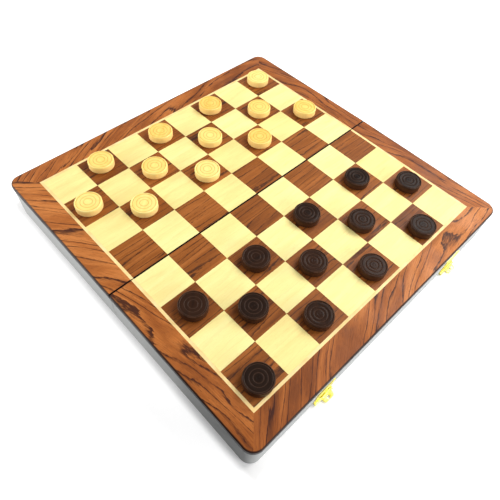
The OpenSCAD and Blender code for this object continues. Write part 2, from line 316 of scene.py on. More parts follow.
# %% Handling marks
marks, marks_in, marks_out = group("handling_marks", {
    "Place": ("NodeSocketVector", None), "Size": ("NodeSocketFloat", 30.0)}, ("Smudge", "Specks"))
marks_scale = maths(marks, "DIVIDE", 1.0, marks_in.outputs["Size"])
marks_place = add(marks, "ShaderNodeVectorMath", {"operation": "SCALE"},
    i0=marks_in.outputs["Place"], Scale=marks_scale).outputs[0]
smudge = noise(marks, marks_place, 1.0, 4.0, Roughness=0.65, Distortion=0.4)
specks = noise(marks, marks_place, 40.0, 1.0)
marks.links.new(spread(marks, smudge, 0.35, 0.7), marks_out.inputs["Smudge"])
marks.links.new(spread(marks, specks, 0.66, 0.74), marks_out.inputs["Specks"])
print("marks group:", len(marks.nodes), "nodes")


def use(tree, name, **inputs):
    made = tree.nodes.new("ShaderNodeGroup")
    made.node_tree = bpy.data.node_groups[name]
    for key, value in inputs.items():
        if isinstance(value, bpy.types.NodeSocket):
            tree.links.new(value, made.inputs[key])
        else:
            made.inputs[key].default_value = value
    return made.outputs


def grain_of(tree, name="grain"):
    return add(tree, "ShaderNodeAttribute", {"attribute_name": name}).outputs["Vector"]


def part_of(tree, name):
    return add(tree, "ShaderNodeAttribute", {"attribute_name": name}).outputs["Fac"]


# %% [markdown]
# The veneers and the panel's dark edge. Each starts from the colour that the photograph shows on
# a well lit place, with darker and lighter neighbours that the figure moves between. The lacquer
# is satin: the wood is fairly rough, and the thin clear coat over it gives only faint and broad
# reflections. The wood is stained dark where a `stain` value says so and close to the fold.

# %% The woods
DARK_STAIN = srgb(30, 15, 10)


def object_place(tree):
    """The place in the object's own coordinates, in millimetres."""
    place = add(tree, "ShaderNodeTexCoord").outputs["Object"]
    return add(tree, "ShaderNodeVectorMath", {"operation": "SCALE"}, i0=place,
        Scale=1 / MM).outputs[0]


def lacquered_wood(name, stops, sizes, pore_colour, pore_depth, fibre_depth, rough, vein=0.0,
        calm=1.0, tile=0.0):
    made, tree, shader = material(name, Coat_Weight=0.03, Coat_Roughness=0.35, Coat_IOR=1.4,
        Specular_IOR_Level=0.16)
    place = grain_of(tree)
    woods = use(tree, "wood_figure", Place=place, **sizes)
    touch = use(tree, "handling_marks", Place=place)
    figure = spread(tree, woods["Figure"], 0.28, 0.72, 0.5 - calm / 2, 0.5 + calm / 2)
    # The `tile` value moves the colour: each square's own tone, and along the border strips a
    # change that is painted light and shade.
    if tile:
        own = times(tree, maths(tree, "SUBTRACT", part_of(tree, "tile"), 0.5), tile)
        figure = maths(tree, "ADD", figure, own, clamp=True)
    colour = ramp(tree, figure, *stops)
    fibres = spread(tree, woods["Fibres"], 0.3, 0.75, 1.0 - fibre_depth, 1.0)
    grey = add(tree, "ShaderNodeCombineXYZ", X=fibres, Y=fibres, Z=fibres).outputs[0]
    colour = blend_colours(tree, 1.0, colour, grey, "MULTIPLY")
    for mask, depth in ((woods["Pores"], pore_depth), (woods["Veins"], vein)):
        colour = blend_colours(tree, times(tree, mask, depth), colour, pore_colour)
    fold = add(tree, "ShaderNodeSeparateXYZ", Vector=object_place(tree)).outputs["X"]
    fold = spread(tree, maths(tree, "ABSOLUTE", fold), FOLD_EDGE, FOLD_EDGE + 0.2, 1.0, 0.0)
    stain = maths(tree, "MAXIMUM", part_of(tree, "stain"), fold)
    colour = blend_colours(tree, stain, colour, DARK_STAIN)
    tree.links.new(colour, shader.inputs["Base Color"])
    tree.links.new(spread(tree, touch["Smudge"], 0, 1, rough - 0.06, rough + 0.1),
        shader.inputs["Roughness"])
    bump(tree, shader, woods["Height"], 0.00004, 0.5)
    return made


maple = lacquered_wood("maple_veneer",
    ((0.0, 246, 223, 144), (0.5, 251, 234, 156), (1.0, 254, 241, 168)),
    {"Band": 9.0, "Stretch": 7.0, "Wobble": 1.6, "Fibre": 0.3, "Rings": 1.1},
    srgb(206, 160, 88), pore_depth=0.2, fibre_depth=0.05, rough=0.5, vein=0.1, calm=0.6, tile=0.6)
walnut = lacquered_wood("walnut_veneer",
    ((0.0, 108, 56, 19), (0.3, 136, 75, 26), (0.6, 153, 87, 33), (1.0, 176, 105, 48)),
    {"Band": 5.0, "Stretch": 16.0, "Wobble": 1.6, "Fibre": 0.35, "Rings": 0.8},
    srgb(50, 22, 8), pore_depth=0.5, fibre_depth=0.2, rough=0.5, vein=0.85, calm=0.7, tile=0.5)
rosewood = lacquered_wood("rosewood_veneer",
    ((0.0, 92, 44, 16), (0.25, 136, 72, 28), (0.5, 166, 93, 40), (0.75, 190, 112, 52),
        (1.0, 212, 132, 68)),
    {"Band": 11.0, "Stretch": 4.5, "Wobble": 3.5, "Fibre": 0.4, "Rings": 1.3},
    srgb(52, 18, 8), pore_depth=0.6, fibre_depth=0.3, rough=0.48, vein=0.95, calm=0.6, tile=0.9)
edge_wood = lacquered_wood("dark_panel_edge",
    ((0.0, 18, 9, 6), (0.6, 30, 16, 11), (1.0, 44, 25, 17)),
    {"Band": 1.2, "Stretch": 30.0, "Wobble": 0.6, "Fibre": 0.4},
    srgb(12, 6, 4), pore_depth=0.5, fibre_depth=0.2, rough=0.5)
print("woods:", [m.name for m in (maple, walnut, rosewood, edge_wood)])

# %% [markdown]
# The walls under the board look grey: a satin lacquer over smooth wood. It is a nearly even
# colour, so what makes it real is small: a very slight orange peel from the spray, faint
# smudges and fine dust. The lacquer hides the grain, so it reads the object's own coordinates.

# %% The grey lacquer
lacquer, tree, shader = material("grey_case_lacquer", Coat_Weight=0.05, Coat_Roughness=0.5,
    Specular_IOR_Level=0.25)
place = object_place(tree)
touch = use(tree, "handling_marks", Place=place, Size=45.0)
colour = blend_colours(tree, touch["Smudge"], srgb(172, 174, 173), srgb(184, 186, 185))
colour = blend_colours(tree, times(tree, touch["Specks"], 0.25), colour, srgb(120, 118, 114))
tree.links.new(colour, shader.inputs["Base Color"])
tree.links.new(spread(tree, touch["Smudge"], 0, 1, 0.5, 0.64), shader.inputs["Roughness"])
bump(tree, shader, noise(tree, place, 0.4, 1.0), 0.00001, 0.3)
print("grey lacquer:", len(tree.nodes), "nodes")

# %% [markdown]
# Brass for the latches and hinges: bright where it is rubbed, a little browner elsewhere, with
# fine brushed lines across the sheet. The bevelled edges carry a `wear` value, made when the
# edge was eased, which lightens and smooths them as handling does. The pins are plain steel.

# %% The metals


def metal(name, dull, bright, rough, brushed):
    made, tree, shader = material(name, Metallic=1.0)
    place = object_place(tree)
    touch = use(tree, "handling_marks", Place=place, Size=6.0)
    lines = add(tree, "ShaderNodeVectorMath", {"operation": "MULTIPLY"}, i0=place,
        i1=(9.0, 0.35, 9.0)).outputs[0]
    lines = noise(tree, lines, 1.0, 3.0)
    worn = part_of(tree, "wear")
    amount = maths(tree, "MAXIMUM", times(tree, touch["Smudge"], 0.75), worn)
    tree.links.new(blend_colours(tree, amount, dull, bright), shader.inputs["Base Color"])
    gloss = maths(tree, "MULTIPLY_ADD", lines, brushed, rough)
    gloss = maths(tree, "SUBTRACT", gloss, times(tree, worn, 0.08))
    tree.links.new(gloss, shader.inputs["Roughness"])
    bump(tree, shader, lines, 0.00001, 0.4)
    return made


brass = metal("pressed_brass", srgb(214, 198, 84), srgb(255, 248, 150), 0.3, 0.16)
steel = metal("steel_wire", srgb(150, 150, 148), srgb(202, 202, 198), 0.24, 0.12)
print("metals:", brass.name, steel.name)

# %% [markdown]
# Felt lines the underside of each panel. Its colour comes from short tangled fibres, so the
# noise is fine and has no direction, and a little sheen catches the light at a low angle.

# %% The felt
felt_cloth, tree, shader = material("green_felt", Roughness=0.95, Sheen_Weight=0.35,
    Sheen_Roughness=0.6, Specular_IOR_Level=0.1)
place = object_place(tree)
tangle = noise(tree, place, 2.2, 6.0, Roughness=0.7)
patches = noise(tree, place, 0.05, 3.0)
colour = blend_colours(tree, spread(tree, tangle, 0.35, 0.65), srgb(20, 66, 40),
    srgb(44, 104, 66))
colour = blend_colours(tree, spread(tree, patches, 0.4, 0.7, 0, 0.35), colour, srgb(58, 112, 78))
tree.links.new(colour, shader.inputs["Base Color"])
bump(tree, shader, tangle, 0.0003, 0.6)
print("felt:", len(tree.nodes), "nodes")

# %% [markdown]
# The draughts are turned on a lathe and then lacquered. The light ones are boxwood, the dark
# ones are stained almost black, and the stain is thinner on the edges that fingers rub. The
# `wear` value marks those edges, and `grain` gives each its own piece of wood. The sides have a
# colour of their own: on the dark ones a lighter brown, which is painted light from the floor
# below, and on the light ones a paler peach tone. The grooves are painted too: painted shade
# on the light ones and painted glints on the dark ones.

# %% The draughts' finishes


def turned_wood(name, stops, side, worn, ring_shade_and_glint, rough):
    made, tree, shader = material(name, Coat_Weight=0.08, Coat_Roughness=0.1, Coat_IOR=1.4,
        Specular_IOR_Level=0.03)
    place = grain_of(tree)
    woods = use(tree, "wood_figure", Place=place, Band=3.0, Stretch=10.0, Wobble=1.0, Fibre=0.3)
    touch = use(tree, "handling_marks", Place=place, Size=9.0)
    figure = spread(tree, woods["Figure"], 0.3, 0.7, 0.35, 0.65)
    own = times(tree, maths(tree, "SUBTRACT", part_of(tree, "tile"), 0.5), 0.7)
    colour = ramp(tree, maths(tree, "ADD", figure, own, clamp=True), *stops)
    # The grooves' colour is painted shade on the boxwood and painted glints on the dark wood; the
    # sides' colour is painted light on the dark wood and a paler tone on the boxwood.
    for mask, depth, shade in (("ring", 0.6, ring_shade_and_glint), ("flank", 0.75, side)):
        colour = blend_colours(tree, times(tree, part_of(tree, mask), depth), colour, shade)
    rubbed = times(tree, part_of(tree, "wear"), spread(tree, touch["Smudge"], 0, 1, 0.25, 0.8))
    colour = blend_colours(tree, rubbed, colour, worn)
    tree.links.new(colour, shader.inputs["Base Color"])
    tree.links.new(spread(tree, touch["Smudge"], 0, 1, rough - 0.05, rough + 0.1),
        shader.inputs["Roughness"])
    bump(tree, shader, woods["Height"], 0.00003, 0.5)
    return made


# After the ramp come each wood's colours for its sides, its rubbed edges and its grooves. The dark
# wood's sides and grooves are painted light, and the boxwood's grooves are painted shade.
light_wood = turned_wood("turned_boxwood",
    ((0.0, 243, 194, 92), (0.5, 249, 221, 126), (1.0, 253, 236, 150)),
    srgb(249, 210, 142), srgb(253, 232, 160), srgb(206, 134, 46), 0.36)
dark_wood = turned_wood("dark_stained_wood",
    ((0.0, 18, 10, 7), (0.5, 28, 16, 10), (1.0, 50, 28, 16)),
    srgb(76, 46, 30), srgb(96, 66, 50), srgb(82, 60, 48), 0.34)
print("finishes:", len(bpy.data.materials))

# %% [markdown]
# The panel and its borders share one rounded outer edge. A slab like this is a stack of the
# same outline at several heights: near the top each outline is a little smaller, on a quarter
# circle. The panel takes the heights below the veneer, and the borders take those above it, so
# the rounding runs through both as it does when the glued-up panel is put to the router.

# %% Slabs with a rounded edge


def rounding(z):
    """How far the panel's edge has come in at this height, on its rounded arris."""
    rise = z - (FACE - ARRIS)
    return 0.0 if rise <= 0 else ARRIS - math.sqrt(max(0.0, ARRIS**2 - rise**2))


def corner_points(inset, side, steps=14):
    """The rounded corner of a half, from its side to its end."""
    radius = CORNER - inset
    centre = HALF_LENGTH - CORNER
    turn = [math.pi / 2 * (1 - k / steps) for k in range(steps + 1)]
    return [(centre + radius * math.cos(t), side * (centre + radius * math.sin(t))) for t in turn]


def half_outline(inset):
    near, far = corner_points(inset, -1), corner_points(inset, 1)
    fold = FOLD_GAP
    return [(fold, -HALF_LENGTH + inset)] + near + far[::-1] + [(fold, HALF_LENGTH - inset)]


def stack(levels, outline):
    """A closed mesh through the outlines at these heights."""
    rings = [outline(rounding(z) if inset is None else inset) for z, inset in levels]
    count = len(rings[0])
    points = [(x, y, z) for ring, (z, _) in zip(rings, levels) for x, y in ring]
    faces = [[level * count + k, level * count + (k + 1) % count,
        (level + 1) * count + (k + 1) % count, (level + 1) * count + k]
        for level in range(len(levels) - 1) for k in range(count)]
    faces += [list(range(count))[::-1], [(len(levels) - 1) * count + k for k in range(count)]]
    return closed_mesh("slab", points, faces)


core_top = FACE - VENEER
core_bottom = core_top - PANEL
bend = FACE - ARRIS
edge_levels = [(core_bottom, 0.5), (core_bottom + 0.2, 0.2), (core_bottom + 0.5, 0.0)]
edge_levels += [(z, None) for z in (bend, bend + 0.25, bend + 0.48, core_top)]
for half in HALVES:
    mesh = stack(edge_levels, half_outline)
    put_grain(mesh, (0, 1, 0), (1, 0, 0), (0, 0, 1), (0, 40.0 if half == "latch_half" else 0, 0))
    shade_by_angle(mesh, 50)
    settle(mesh, half + "_panel_core", half, half, edge_wood, [half + "_panel"])
print("panel cores: two, each", len(mesh.vertices), "points")

# %% [markdown]
# The borders are three strips of rosewood round each half, joined by mitres. The veneer was laid
# with its grain slanting across the strips, and the slant changes along each of them, so the
# grain is a curved field: its place across the plank is the place across the strip, less the
# slope summed up so far. The tone goes evenly from one end of a strip to the other too, and
# that is painted light and shade: the strips are darker toward the latch end's left corner and
# the keeper end's right corner, and lighter toward the other two. The dark stain of the panel's
# edge runs up over the rounding, so a `stain` value marks it.

# %% Rosewood borders


def between(first, last, step=6.0):
    """Even places on a straight edge, its start but not its end."""
    count = max(1, round(abs(last - first) / step))
    return [first + (last - first) * k / count for k in range(count)]


def mitre_at(inset):
    """Where the mitre meets the outer edge, the same distance along and across."""
    return math.sqrt(0.5) * (CORNER - inset) + HALF_LENGTH - CORNER


def side_strip(side):
    def outline(inset):
        mitre, edge = mitre_at(inset), side * (HALF_LENGTH - inset)
        near = [p for p in corner_points(inset, side) if p[0] < mitre - 0.01][:7]
        points = [(x, edge) for x in between(FOLD_GAP, near[0][0])] + near
        points += [(mitre, side * mitre)]
        points += [(x, side * BORDER_IN) for x in between(BORDER_IN, FOLD_GAP)]
        return points + [(FOLD_GAP, side * BORDER_IN)]
    return outline


def end_strip(inset):
    mitre = mitre_at(inset)
    far = [p for p in corner_points(inset, 1) if p[0] > mitre + 0.01][-7:]
    near = [(x, -y) for x, y in far[::-1]]
    outer = [(far[-1][0], y) for y in between(far[-1][1], near[0][1])][1:]
    inner = [(BORDER_IN, y) for y in between(-BORDER_IN, BORDER_IN)]
    points = [(mitre, mitre)] + far + outer + near + [(mitre, -mitre)] + inner
    return points + [(BORDER_IN, BORDER_IN)]


veneer_levels = [(core_top, None), (core_top + 0.2, None), (core_top + 0.38, None),
    (FACE - 0.08, None), (FACE, None)]
# Each strip has the grain's slant in degrees and the tone, at its low end and at its high end.
# The tone's change along a strip is painted light and shade.
STRIPS = {
    ("keeper_half", "left_border"): (-30, -46, 0.8, 0.95),
    ("keeper_half", "right_border"): (5, -25, 0.5, 0.4),
    ("keeper_half", "end_border"): (-40, 8, 0.7, 0.5),
    ("latch_half", "left_border"): (18, -3, 0.75, 0.5),
    ("latch_half", "right_border"): (20, 5, 0.4, 0.6),
    ("latch_half", "end_border"): (44, 0, 0.4, 0.85)}
OUTLINES = {"left_border": side_strip(-1), "right_border": side_strip(1),
    "end_border": end_strip}


def bend_grain(mesh, axis, slants, tones_and_painted_light, start):
    """Grain whose slant goes evenly from one value to another along this axis of the strip."""
    points = np.array([tuple(vertex.co) for vertex in mesh.vertices])
    along, aside = points[:, axis], points[:, 1 - axis] * (1 if axis == 0 else -1)
    share = (along - along.min()) / np.ptp(along)
    first, last = (math.tan(math.radians(slant)) for slant in slants)
    drop = np.ptp(along) * (first * share + (last - first) * share**2 / 2)
    places = np.stack([along, aside - drop, points[:, 2]], 1) + start
    mark(mesh, "grain", places, "FLOAT_VECTOR")
    # The tone along the strip, whose change is painted light and shade.
    mark(mesh, "tile", tones_and_painted_light[0] + share * (tones_and_painted_light[1] - tones_and_painted_light[0]))
    mark(mesh, "stain", np.clip((FACE - points[:, 2]) / 0.08, 0, 0.92))


for number, ((half, name), (*slants, low, high)) in enumerate(STRIPS.items()):
    mesh = stack(veneer_levels, OUTLINES[name])
    bend_grain(mesh, 1 if name == "end_border" else 0, slants, (low, high),
        (310.0 * number + 40, 61.0 * number, 20.0 * number))
    shade_by_angle(mesh, 50)
    settle(mesh, f"{half}_{name}_veneer", half, half, rosewood,
        [f"{half}_{name}"])
print("borders:", len(STRIPS), "strips")

# %% [markdown]
# The squares follow a rule, so Geometry Nodes lay them. The object that carries the tree is just
# a set of points, one in the middle of each square, with the size of the tile there. The tree
# puts one tile on each, gives each a random number called `tile` and its own start in the plank,
# and makes it all real geometry. The material moves its colour by `tile`, as a veneer cutter
# takes the squares of a board from different leaves.

# %% The tree that lays the squares
laying, laying_in, laying_out = group("lay_squares", {"Geometry": ("NodeSocketGeometry", None),
    "Seed": ("NodeSocketInt", 1), "Plank": ("NodeSocketFloat", 400.0),
    "Veneer": ("NodeSocketMaterial", None)},
    ("Geometry",), "GeometryNodeTree", "NodeSocketGeometry")
given = laying_in.outputs


def chance_of(tree, kind, seed):
    """The socket of a random value of this kind, drawn anew for each point."""
    made = add(tree, "FunctionNodeRandomValue", {"data_type": kind}, Seed=seed)
    if kind == "FLOAT_VECTOR":
        made.inputs["Max"].default_value = (1.0, 1.0, 1.0)
    return [socket for socket in made.outputs if socket.enabled][0]


def named(tree, name):
    """The vector that each point carries under this name."""
    return add(tree, "GeometryNodeInputNamedAttribute", {"data_type": "FLOAT_VECTOR"},
        Name=name).outputs["Attribute"]


def stored(tree, geometry, name, value, kind="FLOAT_VECTOR", domain="INSTANCE"):
    """The geometry, with this value written on it under this name."""
    return add(tree, "GeometryNodeStoreNamedAttribute", {"data_type": kind, "domain": domain},
        Geometry=geometry, Name=name, Value=value).outputs["Geometry"]


tile = add(laying, "GeometryNodeMeshCube", Size=(1.0, 1.0, 1.0), Vertices_X=2, Vertices_Y=2,
    Vertices_Z=2)
laid = add(laying, "GeometryNodeInstanceOnPoints", Points=given["Geometry"],
    Instance=tile.outputs["Mesh"], Scale=named(laying, "tile_size"))
tiled = stored(laying, laid.outputs["Instances"], "tile",
    chance_of(laying, "FLOAT", given["Seed"]), "FLOAT")
start = add(laying, "ShaderNodeVectorMath", {"operation": "SCALE"},
    i0=chance_of(laying, "FLOAT_VECTOR", given["Seed"]), Scale=given["Plank"]).outputs[0]
shifted = stored(laying, tiled, "start", start)
real = add(laying, "GeometryNodeRealizeInstances", Geometry=shifted).outputs["Geometry"]
where = laying.nodes.new("GeometryNodeInputPosition").outputs[0]
parts = add(laying, "ShaderNodeSeparateXYZ", Vector=where).outputs
turned_place = add(laying, "ShaderNodeCombineXYZ", X=parts["Y"], Y=parts["X"], Z=parts["Z"])
total = add(laying, "ShaderNodeVectorMath", {"operation": "ADD"}, i0=turned_place.outputs[0],
    i1=named(laying, "start")).outputs[0]
grained = stored(laying, real, "grain", total, domain="POINT")
dressed = add(laying, "GeometryNodeSetMaterial", Geometry=grained, Material=given["Veneer"])
laying.links.new(dressed.outputs["Geometry"], laying_out.inputs["Geometry"])
print("laying tree:", len(laying.nodes), "nodes")


def grown(tree, carrier, **inputs):
    """Runs a Geometry Nodes tree on a carrier mesh and returns the plain mesh that it makes."""
    holder = bpy.data.objects.new("carrier", carrier)
    bpy.context.scene.collection.objects.link(holder)
    modifier = holder.modifiers.new("grow", "NODES")
    modifier.node_group = tree
    for item in tree.interface.items_tree:
        if item.item_type == "SOCKET" and item.in_out == "INPUT" and item.name in inputs:
            modifier[item.identifier] = inputs[item.name]
    bpy.context.view_layer.update()
    shown = holder.evaluated_get(bpy.context.evaluated_depsgraph_get())
    mesh = bpy.data.meshes.new_from_object(shown)
    holder.modifiers.remove(modifier)
    bpy.data.objects.remove(holder)
    return mesh


# %% The sixty-four squares
JOINT = 0.1
for half in HALVES:
    for dark in (True, False):
        centres, sizes = [], []
        for file in range(FILES):
            near = FOLD_GAP if file == 0 else file * SQUARE + JOINT / 2
            far = (file + 1) * SQUARE - JOINT / 2
            for rank in range(SQUARES):
                if ((file + rank) % 2 == (1 if half == "latch_half" else 0)) == dark:
                    along = (rank + 0.5) * SQUARE - FIELD_HALF
                    centres.append(((near + far) / 2, along, FACE - VENEER / 2))
                    sizes.append((far - near, SQUARE - JOINT, VENEER))
        carrier = bpy.data.meshes.new("square_centres")
        carrier.from_pydata(centres, [], [])
        mark(carrier, "tile_size", sizes, "FLOAT_VECTOR")
        tone, veneer = ("dark", walnut) if dark else ("light", maple)
        seed = 11 + 2 * list(HALVES).index(half) + dark
        mesh = grown(laying, carrier, Seed=seed, Veneer=veneer)
        settle(mesh, f"{half}_{tone}_squares_veneer", half, half, veneer,
            [f"{half}_{tone}_squares"])
        print(half, tone, len(centres), "tiles")

# %% [markdown]
# The CAD pieces that have the right form but razor-sharp edges are copied, merged and eased:
# every sharp edge gets a small bevel, because real edges always catch a line of light. The
# bevel's faces get a `wear` value of one, which the metals use. The CAD node itself is left
# alone, and the copy stands in for it.

# %% Easing the edges of a copy


def eased(node, half, width, finish, keep=None, segments=2):
    """A copy of a CAD node with its sharp edges rounded, in the place of the node."""
    source = frame["nodes"][node]
    body = source["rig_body"]
    back = (HALVES[half] @ Matrix.Scale(MM, 4)).inverted()
    mesh = source.data.copy()
    mesh.transform(back)
    shaped = bmesh.new()
    shaped.from_mesh(mesh)
    bmesh.ops.remove_doubles(shaped, verts=shaped.verts, dist=0.002)
    bmesh.ops.dissolve_limit(shaped, angle_limit=math.radians(0.5), verts=shaped.verts,
        edges=shaped.edges)
    bmesh.ops.recalc_face_normals(shaped, faces=shaped.faces)
    worn = shaped.faces.layers.float.new("wear")
    sharp = [e for e in shaped.edges if e.is_manifold and e.calc_face_angle(0) > math.radians(30)
        and (keep is None or keep(e.verts[0].co, e.verts[1].co))]
    made = bmesh.ops.bevel(shaped, geom=sharp, offset=width, offset_type="OFFSET",
        segments=segments, profile=0.5, affect="EDGES", clamp_overlap=True)
    for face in made["faces"]:
        face[worn] = 1.0
    bmesh.ops.triangulate(shaped, faces=[f for f in shaped.faces if len(f.verts) > 4])
    shaped.to_mesh(mesh)
    shaped.free()
    shade_by_angle(mesh, 40)
    return settle(mesh, node + "_eased", half, body, finish, [node])


# %% [markdown]
# The walls are planed and lacquered boards. Only the edges of the rim are eased, inside and
# out. The mitres stay tight and square, since a bevel there would draw a groove down each
# corner that the real box doesn't have.

# %% Grey walls


FOLD_WALL_IN, HINGE_U, HINGE_Y = 9.15, 8.5, (70, 120)


def rim_edge(first, second):
    """Whether this edge is on the rim, and neither down a mitre nor in a hinge's recess."""
    ends = (first, second)
    low = all(abs(p.z - RIM) < 0.02 for p in ends)
    mitre = all(abs((p.x - WALL_IN) - (abs(p.y) - WALL_IN)) < 0.05
        or abs((FOLD_WALL_IN - p.x) - (abs(p.y) - WALL_IN)) < 0.05 for p in ends)
    hinge = all(p.x < HINGE_U and HINGE_Y[0] < abs(p.y) < HINGE_Y[1] for p in ends)
    return low and not mitre and not hinge


for half in HALVES:
    for wall in ("end_wall", "fold_wall", "left_wall", "right_wall"):
        piece = eased(f"{half}_{wall}", half, 0.5, lacquer, keep=rim_edge)
print("walls eased, the last has", len(piece.data.polygons), "faces")

# %% [markdown]
# The stringing is one narrow pale line round the squares. Its node is kept as it is, with a pale
# wood that reads object coordinates, because a 2.4 mm strip shows almost no figure.

# %% Stringing
pale_wood, tree, shader = material("pale_stringing", Coat_Weight=0.04, Coat_Roughness=0.3,
    Specular_IOR_Level=0.12)
streaks = noise(tree, object_place(tree), 0.12, 4.0)
colour = blend_colours(tree, spread(tree, streaks, 0.3, 0.7), srgb(240, 206, 138),
    srgb(250, 226, 164))
tree.links.new(colour, shader.inputs["Base Color"])
tree.links.new(spread(tree, streaks, 0, 1, 0.36, 0.5), shader.inputs["Roughness"])


def refinish(name, finish):
    """A CAD node that is shown as it is gets a material of its own."""
    materials = frame["nodes"][name].data.materials
    materials.clear()
    materials.append(finish)


for half in HALVES:
    refinish(half + "_stringing", pale_wood)
print("stringing:", len(HALVES), "pieces")

# %% [markdown]
# Hinges and latches are pressed from thin brass sheet. Their edges are eased by a tenth of a
# millimetre only. The pins are steel wire and keep their CAD nodes.

# %% Brass and pins
for node, half in (("keeper_half_hinge_leaves", "keeper_half"),
        ("latch_half_hinge_leaves", "latch_half"), ("latch_plates", "latch_half"),
        ("left_latch_flap", "latch_half"), ("right_latch_flap", "latch_half"),
        ("keepers", "keeper_half")):
    piece = eased(node, half, 0.1, brass)
    print(node, len(piece.data.polygons), "faces")
for name in ("hinge_pins", "latch_pins"):
    refinish(name, steel)

# %% [markdown]
# Screws repeat, so Geometry Nodes drive them. The carrier holds one point for each screw, with
# the way it is driven. The tree cuts a slot into a countersunk head and shank with a boolean,
# stands one on each point along its way, and turns each by a random angle, since no one ever
# lines up every slot.

# %% The tree that drives the screws
driving, driving_in, driving_out = group("drive_screws", {"Geometry": ("NodeSocketGeometry", None),
    "Head": ("NodeSocketFloat", 1.7), "Shank": ("NodeSocketFloat", 0.9),
    "Countersink": ("NodeSocketFloat", 0.5), "Length": ("NodeSocketFloat", 6.0),
    "Slot": ("NodeSocketFloat", 0.4), "Slot Depth": ("NodeSocketFloat", 0.3),
    "Seed": ("NodeSocketInt", 3), "Metal": ("NodeSocketMaterial", None)},
    ("Geometry",), "GeometryNodeTree", "NodeSocketGeometry")
given = driving_in.outputs
head = add(driving, "GeometryNodeMeshCone", Vertices=40, Radius_Top=given["Shank"],
    Radius_Bottom=given["Head"], Depth=given["Countersink"])
shank = add(driving, "GeometryNodeMeshCylinder", Vertices=24, Radius=given["Shank"],
    Depth=given["Length"])
half_way = maths(driving, "MULTIPLY_ADD", given["Length"], 0.5, 0.02)
raised = add(driving, "GeometryNodeTransform", Geometry=shank.outputs["Mesh"],
    Translation=add(driving, "ShaderNodeCombineXYZ", Z=half_way).outputs[0])
slot_size = add(driving, "ShaderNodeCombineXYZ", X=given["Slot"],
    Y=times(driving, given["Head"], 2.2), Z=times(driving, given["Slot Depth"], 2.0))
slot_cut = add(driving, "GeometryNodeMeshCube", Size=slot_size.outputs[0])
screw = add(driving, "GeometryNodeMeshBoolean", {"operation": "UNION", "solver": "EXACT"})
driving.links.new(head.outputs["Mesh"], screw.inputs["Mesh 2"])
driving.links.new(raised.outputs["Geometry"], screw.inputs["Mesh 2"])
slotted = add(driving, "GeometryNodeMeshBoolean", {"operation": "DIFFERENCE", "solver": "EXACT"},
    Mesh_1=screw.outputs["Mesh"], Mesh_2=slot_cut.outputs["Mesh"])
aim = add(driving, "FunctionNodeAlignRotationToVector", {"axis": "Z"},
    Vector=named(driving, "way"))
angle = times(driving, chance_of(driving, "FLOAT", given["Seed"]), math.pi)
spun = add(driving, "FunctionNodeEulerToRotation",
    Euler=add(driving, "ShaderNodeCombineXYZ", Z=angle).outputs[0])
facing = add(driving, "FunctionNodeRotateRotation", {"rotation_space": "LOCAL"},
    Rotation=aim.outputs[0], Rotate_By=spun.outputs[0])
driven = add(driving, "GeometryNodeInstanceOnPoints", Points=given["Geometry"],
    Instance=slotted.outputs["Mesh"], Rotation=facing.outputs[0])
solid = add(driving, "GeometryNodeRealizeInstances", Geometry=driven.outputs["Instances"])
plated = add(driving, "GeometryNodeSetMaterial", Geometry=solid.outputs["Geometry"],
    Material=given["Metal"])
driving.links.new(plated.outputs["Geometry"], driving_out.inputs["Geometry"])
print("driving tree:", len(driving.nodes), "nodes")

# %% All the screws
HINGES, LATCHES = (-95.0, 95.0), (-78.0, 91.0)
PLATE, PLATE_FOOT, PLATE_TALL = 0.7, 3.2, 16.0
LEAF_MIDDLE, LEAF_SCREW, PLATE_SCREW, FROM_END, KEEPER_SCREW = 4.75, 7.5, 6.55, 3.4, 6.0
BOTH = (-1, 1)
in_hinge = [(LEAF_MIDDLE, y + side * LEAF_SCREW, RIM) for y in HINGES for side in BOTH]
in_plate = [(WALL_OUT + PLATE, y + side * PLATE_SCREW, PLATE_FOOT + z)
    for y in LATCHES for side in BOTH for z in (FROM_END, PLATE_TALL - FROM_END)]
in_keeper = [(WALL_OUT + PLATE, y + side * PLATE_SCREW, RIM + KEEPER_SCREW)
    for y in LATCHES for side in BOTH]
sets = (("keeper_half_hinge_screws", "keeper_half", in_hinge, (0, 0, 1)),
    ("latch_half_hinge_screws", "latch_half", in_hinge, (0, 0, 1)),
    ("latch_screws", "latch_half", in_plate, (-1, 0, 0)),
    ("keeper_screws", "keeper_half", in_keeper, (-1, 0, 0)))
for number, (node, half, places, direction) in enumerate(sets):
    carrier = bpy.data.meshes.new("screw_places")
    carrier.from_pydata(places, [], [])
    mark(carrier, "way", [direction] * len(places), "FLOAT_VECTOR")
    mesh = grown(driving, carrier, Seed=number, Metal=brass)
    shade_by_angle(mesh, 40)
    settle(mesh, node + "_slotted", half, half, brass, [node])
    print(node, len(places), "screws,", len(mesh.polygons), "faces")

# %% [markdown]
# The felt is a real sheet laid against the panel's underside. A flat slab would look like paint,
# so the sheet is a fine grid: its face rises and falls by a few hundredths of a millimetre, and
# it is thinner along its cut edges.

# %% Felt linings


